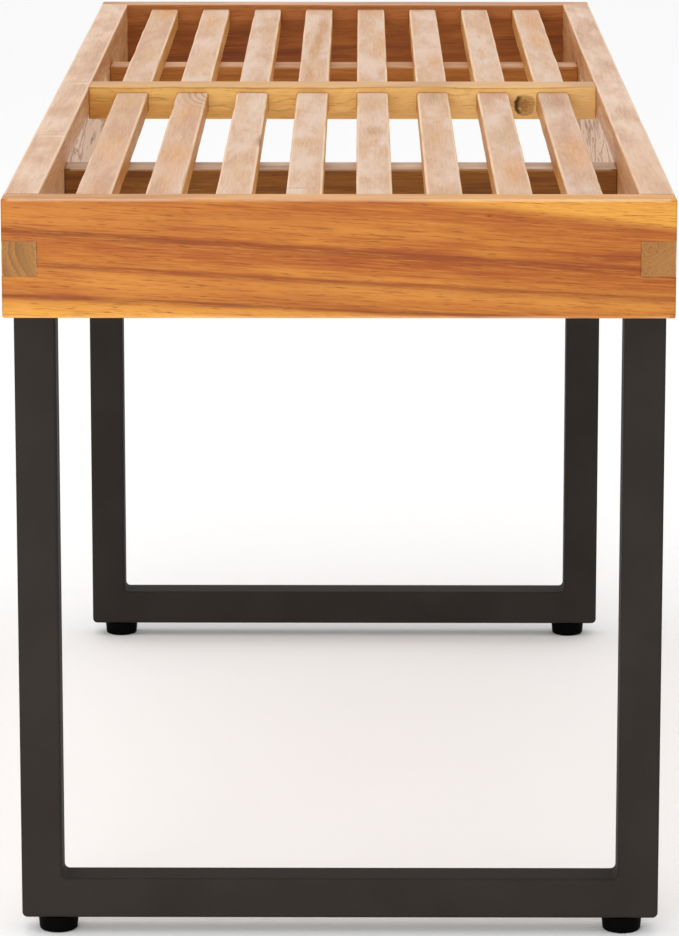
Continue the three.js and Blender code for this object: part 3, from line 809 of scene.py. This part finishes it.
# Marks on the tops of single slats, in the form that paint_stains takes.
SLAT_STAINS = {
    "near_slat_1": ((0.86, 0.5, 0.110, 0.014, TAN, 0.75), (0.48, 0.5, 0.120, 0.014, ORANGE_TAN, 0.60),
                    (0.10, 0.5, 0.060, 0.010, ORANGE_TAN, 0.45)),
    "near_slat_2": ((0.76, 0.6, 0.110, 0.014, ORANGE_TAN, 0.65), (0.40, 0.5, 0.070, 0.014, ORANGE_TAN, 0.75),
                    (0.16, 0.4, 0.060, 0.010, ORANGE_TAN, 0.45)),
    "near_slat_3": ((0.50, 0.98, 0.030, 0.003, BROWN_TAN, 0.85), (0.20, 0.5, 0.060, 0.008, TAN, 0.45)),
    "near_slat_4": ((0.50, 0.5, 0.024, 0.015, TAN, 0.70), (0.115, 0.5, 0.0012, 0.020, BROWN_TAN, 0.95)),
    "near_slat_5": ((0.60, 0.5, 0.028, 0.008, (176, 124, 74), 0.65), (0.88, 0.5, 0.050, 0.012, TAN, 0.60)),
    "near_slat_6": ((0.93, 0.5, 0.040, 0.012, BROWN_TAN, 0.55), (0.55, 0.4, 0.050, 0.010, TAN, 0.60)),
    "near_slat_7": ((0.55, 0.6, 0.050, 0.012, GOLD_TAN, 0.50), (0.24, 0.6, 0.080, 0.010, ORANGE_TAN, 0.70)),
    "near_slat_8": ((0.90, 0.5, 0.060, 0.012, BROWN_TAN, 0.60), (0.42, 0.6, 0.110, 0.013, ORANGE_TAN, 0.70)),
    "far_slat_1": ((0.93, 0.6, 0.070, 0.014, ORANGE_TAN, 0.80), (0.40, 0.5, 0.070, 0.009, TAN, 0.60)),
    "far_slat_2": ((0.80, 0.5, 0.070, 0.010, ORANGE_TAN, 0.50), (0.30, 0.4, 0.060, 0.009, TAN, 0.55)),
    "far_slat_3": ((0.60, 0.7, 0.080, 0.006, TAN, 0.55),),
    "far_slat_4": ((0.74, 0.72, 0.07, 0.0050, GOLD_TAN, 0.85), (0.58, 0.58, 0.07, 0.0050, GOLD_TAN, 0.85),
                   (0.42, 0.44, 0.07, 0.0050, GOLD_TAN, 0.80), (0.16, 0.34, 0.08, 0.0050, GOLD_TAN, 0.70)),
    "far_slat_5": ((0.50, 0.8, 0.090, 0.007, ORANGE_TAN, 0.65), (0.93, 0.5, 0.040, 0.010, TAN, 0.60)),
    "far_slat_6": ((0.30, 0.7, 0.060, 0.007, ORANGE_TAN, 0.50),),
    "far_slat_8": ((0.82, 0.6, 0.080, 0.010, ORANGE_TAN, 0.80), (0.55, 0.6, 0.060, 0.009, ORANGE_TAN, 0.70)),
}


def make_slats():
    # How far each slat leans from tan to pale, from left to right.
    paleness = {"near": (-0.22, -0.12, 0.12, 0.14, 0.12, 0.08, 0.00, -0.24),
                "far": (-0.05, 0.12, 0.00, -0.02, 0.10, 0.18, 0.16, -0.10)}
    for end, tints in paleness.items():
        for index, (name, tint) in enumerate(zip(slat_names(end), tints)):
            low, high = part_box(name)
            seed = 31.0 + index * 1.7 + (20 if end == "far" else 0)
            slat = board(f"{end}_slat_board_{index + 1}", low, high, "Y", SLAT_RADIUS, wear=0.9 * MM,
                         seed=seed, spacing=0.008)
            pith = (0.03 * math.sin(seed), 0.04 + 0.02 * math.cos(seed * 1.3))
            swirls = []
            if name == "near_slat_2":
                swirls = [(0.235, 0.0125, 0.003, 0.030)]
            material = wood(f"{end}_slat_wood_{index + 1}", "slat", low, high, "Y", seed, pith=pith,
                            slope=0.02 * math.sin(seed * 2.1), ring=0.0045, tint=tint, swirls=swirls,
                            stains=SLAT_STAINS.get(name, ()))
            finish_piece(slat, material, nodes=[name])


# ---------------------------------------------------------------- steel legs

TUBE_WALL = 1.5 * MM
TUBE_RADIUS = 2.5 * MM
MITRE_RADIUS = 3.2 * MM


def leg_stations(left, right, bottom, top, half, corner):
    """Sections of a U of tube, from the top of its left upright to the top of its right one.

    Each is (x, x per a, z, z per a), where a runs from the U's outer face, -half, to its inner face, half.
    """
    height, bend_steps = top - bottom, 6
    bends = [math.pi / 2 * index / bend_steps for index in range(bend_steps + 1)]
    stations = [(left + half, 1, bottom + height * part, 0) for part in (1.0, 0.66, 0.33)]
    for bend in bends:
        x = left + half + corner * (1 - math.cos(bend))
        stations.append((x, 1, bottom + half + corner * (1 - math.sin(bend)), 1))
    stations += [(left + (right - left) * part, 0, bottom + half, 1) for part in (0.33, 0.66)]
    for bend in bends:
        x = right - half - corner * (1 - math.sin(bend))
        stations.append((x, -1, bottom + half + corner * (1 - math.cos(bend)), 1))
    stations += [(right - half, -1, bottom + height * part, 0) for part in (0.33, 0.66, 1.0)]
    return stations


def leg_rings(end, inset=0.0, beyond=0.0):
    """Sections of one leg's U, smaller by inset all round, with its ends beyond the uprights' tops."""
    bar_low, bar_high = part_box(f"{end}_bottom_bar")
    upright_low, upright_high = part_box(f"{end}_right_upright")
    tube = upright_high[0] - upright_low[0]
    y = (bar_low[1] + bar_high[1]) / 2
    size = tube - 2 * inset
    outline = rounded_outline(size, size, [TUBE_RADIUS - inset] * 4)
    reach, top = upright_high[0], upright_high[2] + beyond
    stations = leg_stations(-reach, reach, bar_low[2], top, tube / 2, MITRE_RADIUS)
    return [[Vector((x + dx * a, y + b, z + dz * a)) for a, b in outline] for x, dx, z, dz in stations]


def insert_hole(corner):
    """The hole for a foot's insert, through the bottom bar's lower wall."""
    centre, bottom, _ = span_of(f"{corner}_foot_insert")
    radius, through, facets = 5.3 * MM, 5 * MM, 32
    return skin_solid([circle(centre, radius, height, facets) for height in (bottom, bottom + through)])


def make_leg(end, coat):
    """One U of hollow tube, in place of a bottom bar and its two uprights."""
    leg = skin(f"{end}_leg_loop", leg_rings(end))
    cut(leg, [skin_solid(leg_rings(end, inset=TUBE_WALL, beyond=MM))])
    cut(leg, [insert_hole(f"{end}_{side}") for side in ("left", "right")])
    nodes = [f"{end}_bottom_bar", f"{end}_left_upright", f"{end}_right_upright"]
    finish_piece(leg, coat, nodes=nodes)


def make_weld(name, centre_x, y, z, width, outward, coat):
    """A rippled fillet weld along X, under a plate and beside a tube."""
    rings = []
    steps, ripples, throat = 48, 12, 2.2 * MM
    for index in range(steps + 1):
        part = index / steps
        taper = max(0.35, min(1.0, 6 * part, 6 * (1 - part)) ** 0.5)
        size = throat * taper * (1 + 0.1 * math.sin(part * 2 * math.pi * ripples))
        x = centre_x + (part - 0.5) * width
        section = [(0.0, 0.0), (1.0, 0.0), (0.72, -0.42), (0.42, -0.72), (0.0, -1.0)]
        rings.append([Vector((x, y + outward * size * a, z + size * b)) for a, b in section])
    finish_piece(skin(name, rings), coat, smooth_angle=60)


def make_plate(corner, coat):
    node = f"{corner}_mounting_plate"
    low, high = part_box(node)
    plate = board(f"{corner}_plate", low, high, "Y", 0.5 * MM, wear=0.0, seed=1.0, spacing=0.02)
    finish_piece(plate, coat, nodes=[node])
    upright_low, upright_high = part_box(f"{corner}_upright")
    x = (upright_low[0] + upright_high[0]) / 2
    short_of_corner = 2 * MM
    width = upright_high[0] - upright_low[0] - 2 * short_of_corner
    make_weld(f"{corner}_weld_1", x, upright_low[1], low[2], width, -1, coat)
    make_weld(f"{corner}_weld_2", x, upright_high[1], low[2], width, 1, coat)


def make_screw(node, zinc):
    """A pan-head screw that points up, with a cross recess in its head."""
    centre, base, tip = span_of(node)
    head, shank, under = 4.5 * MM, 2.1 * MM, base + 3 * MM
    profile = [(0, base), (2.4 * MM, base), (3.5 * MM, base + 0.5 * MM), (4.2 * MM, base + 1.2 * MM),
               (head, base + 2.2 * MM), (head, under), (shank, under), (shank, tip - 5 * MM), (0, tip)]
    screw = turned(node.replace("plate_screw", "screw"), profile, centre, 32)
    (x, y), wide, reach, floor = centre, 0.55 * MM, 2.4 * MM, base + 1.6 * MM
    for half_x, half_y in ((reach, wide), (wide, reach)):
        cut(screw, [box_solid((x - half_x, y - half_y, base - MM), (x + half_x, y + half_y, floor))])
    finish_piece(screw, zinc, nodes=[node])


# ---------------------------------------------------------------- levelling feet

def make_pad(corner, plastic):
    """A round pad with a rolled lower edge, and a recess for the insert's flange."""
    node = f"{corner}_foot_pad"
    centre, _, top = span_of(node)
    wide, narrow, edge, steps = 12.45 * MM, 11.7 * MM, 1.8 * MM, 6
    profile = [(0, 0)]
    for index in range(steps + 1):
        turn = math.pi / 2 * index / steps
        profile.append((narrow - edge + edge * math.sin(turn), edge - edge * math.cos(turn)))
    profile += [(wide - 0.15 * MM, top - 1.0 * MM), (wide, top - 0.5 * MM), (wide - 0.4 * MM, top),
                (7.4 * MM, top), (7.3 * MM, top - MM), (3.4 * MM, top - MM), (3.4 * MM, 3 * MM), (0, 3 * MM)]
    pad = turned(f"{corner}_pad", profile, centre, 64)
    finish_piece(pad, plastic, body=f"{corner}_foot", nodes=[node])


def thread_rings(centre, bottom, top, radius, pitch, facets):
    """Rings of an outer thread, which starts and ends gently."""
    rings = []
    per_turn, depth = 8, 0.55 * MM
    rows = round((top - bottom) / pitch * per_turn)
    for row in range(rows + 1):
        height = bottom + (top - bottom) * row / rows
        ease = min(1.0, row / per_turn, (rows - row) / (per_turn / 2))
        ring = []
        for index in range(facets):
            part = index / facets
            groove = abs(((height - bottom) / pitch - part) % 1.0 - 0.5) * 2
            reach = radius - depth * groove * ease - (1 - ease) * depth
            turn = 2 * math.pi * part
            x, y = centre[0] + reach * math.cos(turn), centre[1] + reach * math.sin(turn)
            ring.append(Vector((x, y, height)))
        rings.append(ring)
    return rings


def make_stud(corner, zinc):
    """A smooth neck that stands in the pad, and a thread above it."""
    node = f"{corner}_foot_stud"
    centre, _, top = span_of(node)
    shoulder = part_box(f"{corner}_foot_pad")[1][2] - MM
    facets, end, neck, thread, pitch = 40, 2.0 * MM, 3.0 * MM, 3.95 * MM, 1.25 * MM
    rings = [circle(centre, radius, height, facets)
             for radius, height in ((end, 3.2 * MM), (neck, 3.4 * MM), (neck, shoulder))]
    rings += thread_rings(centre, shoulder + 0.1 * MM, top, thread, pitch, facets)
    stud = skin(f"{corner}_stud", rings)
    finish_piece(stud, zinc, body=f"{corner}_foot", nodes=[node], smooth_angle=50)


def make_insert(corner, zinc):
    """A rivet nut: a flange under the bar, a barrel through its wall and a crimped bulge above it."""
    node = f"{corner}_foot_insert"
    centre, base, top = span_of(node)
    bore, barrel, flange, bulge = 4.2 * MM, 5.0 * MM, 6.95 * MM, 6.3 * MM
    wall = base + 2.8 * MM
    profile = [(bore + 0.4 * MM, base), (flange - 0.3 * MM, base), (flange, base + 0.3 * MM),
               (flange, base + MM), (barrel, base + MM), (barrel, wall), (bulge, wall + 0.4 * MM),
               (bulge, wall + 2.6 * MM), (barrel, wall + 4 * MM), (barrel, top), (bore, top),
               (bore, base + 0.4 * MM)]
    insert = turned(f"{corner}_insert", profile, centre, closed=True)
    finish_piece(insert, zinc, nodes=[node])


# ---------------------------------------------------------------- floor

def make_floor():
    material, tree, shader = new_material("floor")
    place = add(tree, "ShaderNodeTexCoord").outputs["Object"]
    cloud = noise_at(tree, place, 1.5, 2.0)
    shade = mix(tree, cloud, (0.93, 0.93, 0.93, 1), (0.95, 0.95, 0.95, 1))
    tree.links.new(shade, shader.inputs["Base Color"])
    shader.inputs["Roughness"].default_value = 0.8
    reach = 30.0
    corners = [(-reach, -reach, 0), (reach, -reach, 0), (reach, reach, 0), (-reach, reach, 0)]
    floor = mesh_object("floor", corners, [(0, 1, 2, 3)])
    floor.data.materials.append(material)


# ---------------------------------------------------------------- build

def make_metalwork():
    coat, plastic, zinc = powder_coat(), moulded_plastic(), zinc_plate()
    for end in ("near", "far"):
        make_leg(end, coat)
        for side in ("left", "right"):
            corner = f"{end}_{side}"
            make_plate(corner, coat)
            make_screw(f"{corner}_plate_screw_1", zinc)
            make_screw(f"{corner}_plate_screw_2", zinc)
            make_pad(corner, plastic)
            make_stud(corner, zinc)
            make_insert(corner, zinc)


make_camera()
make_studio()
make_floor()
make_end_rails()
make_side_rails()
make_cross_members()
make_slats()
make_metalwork()
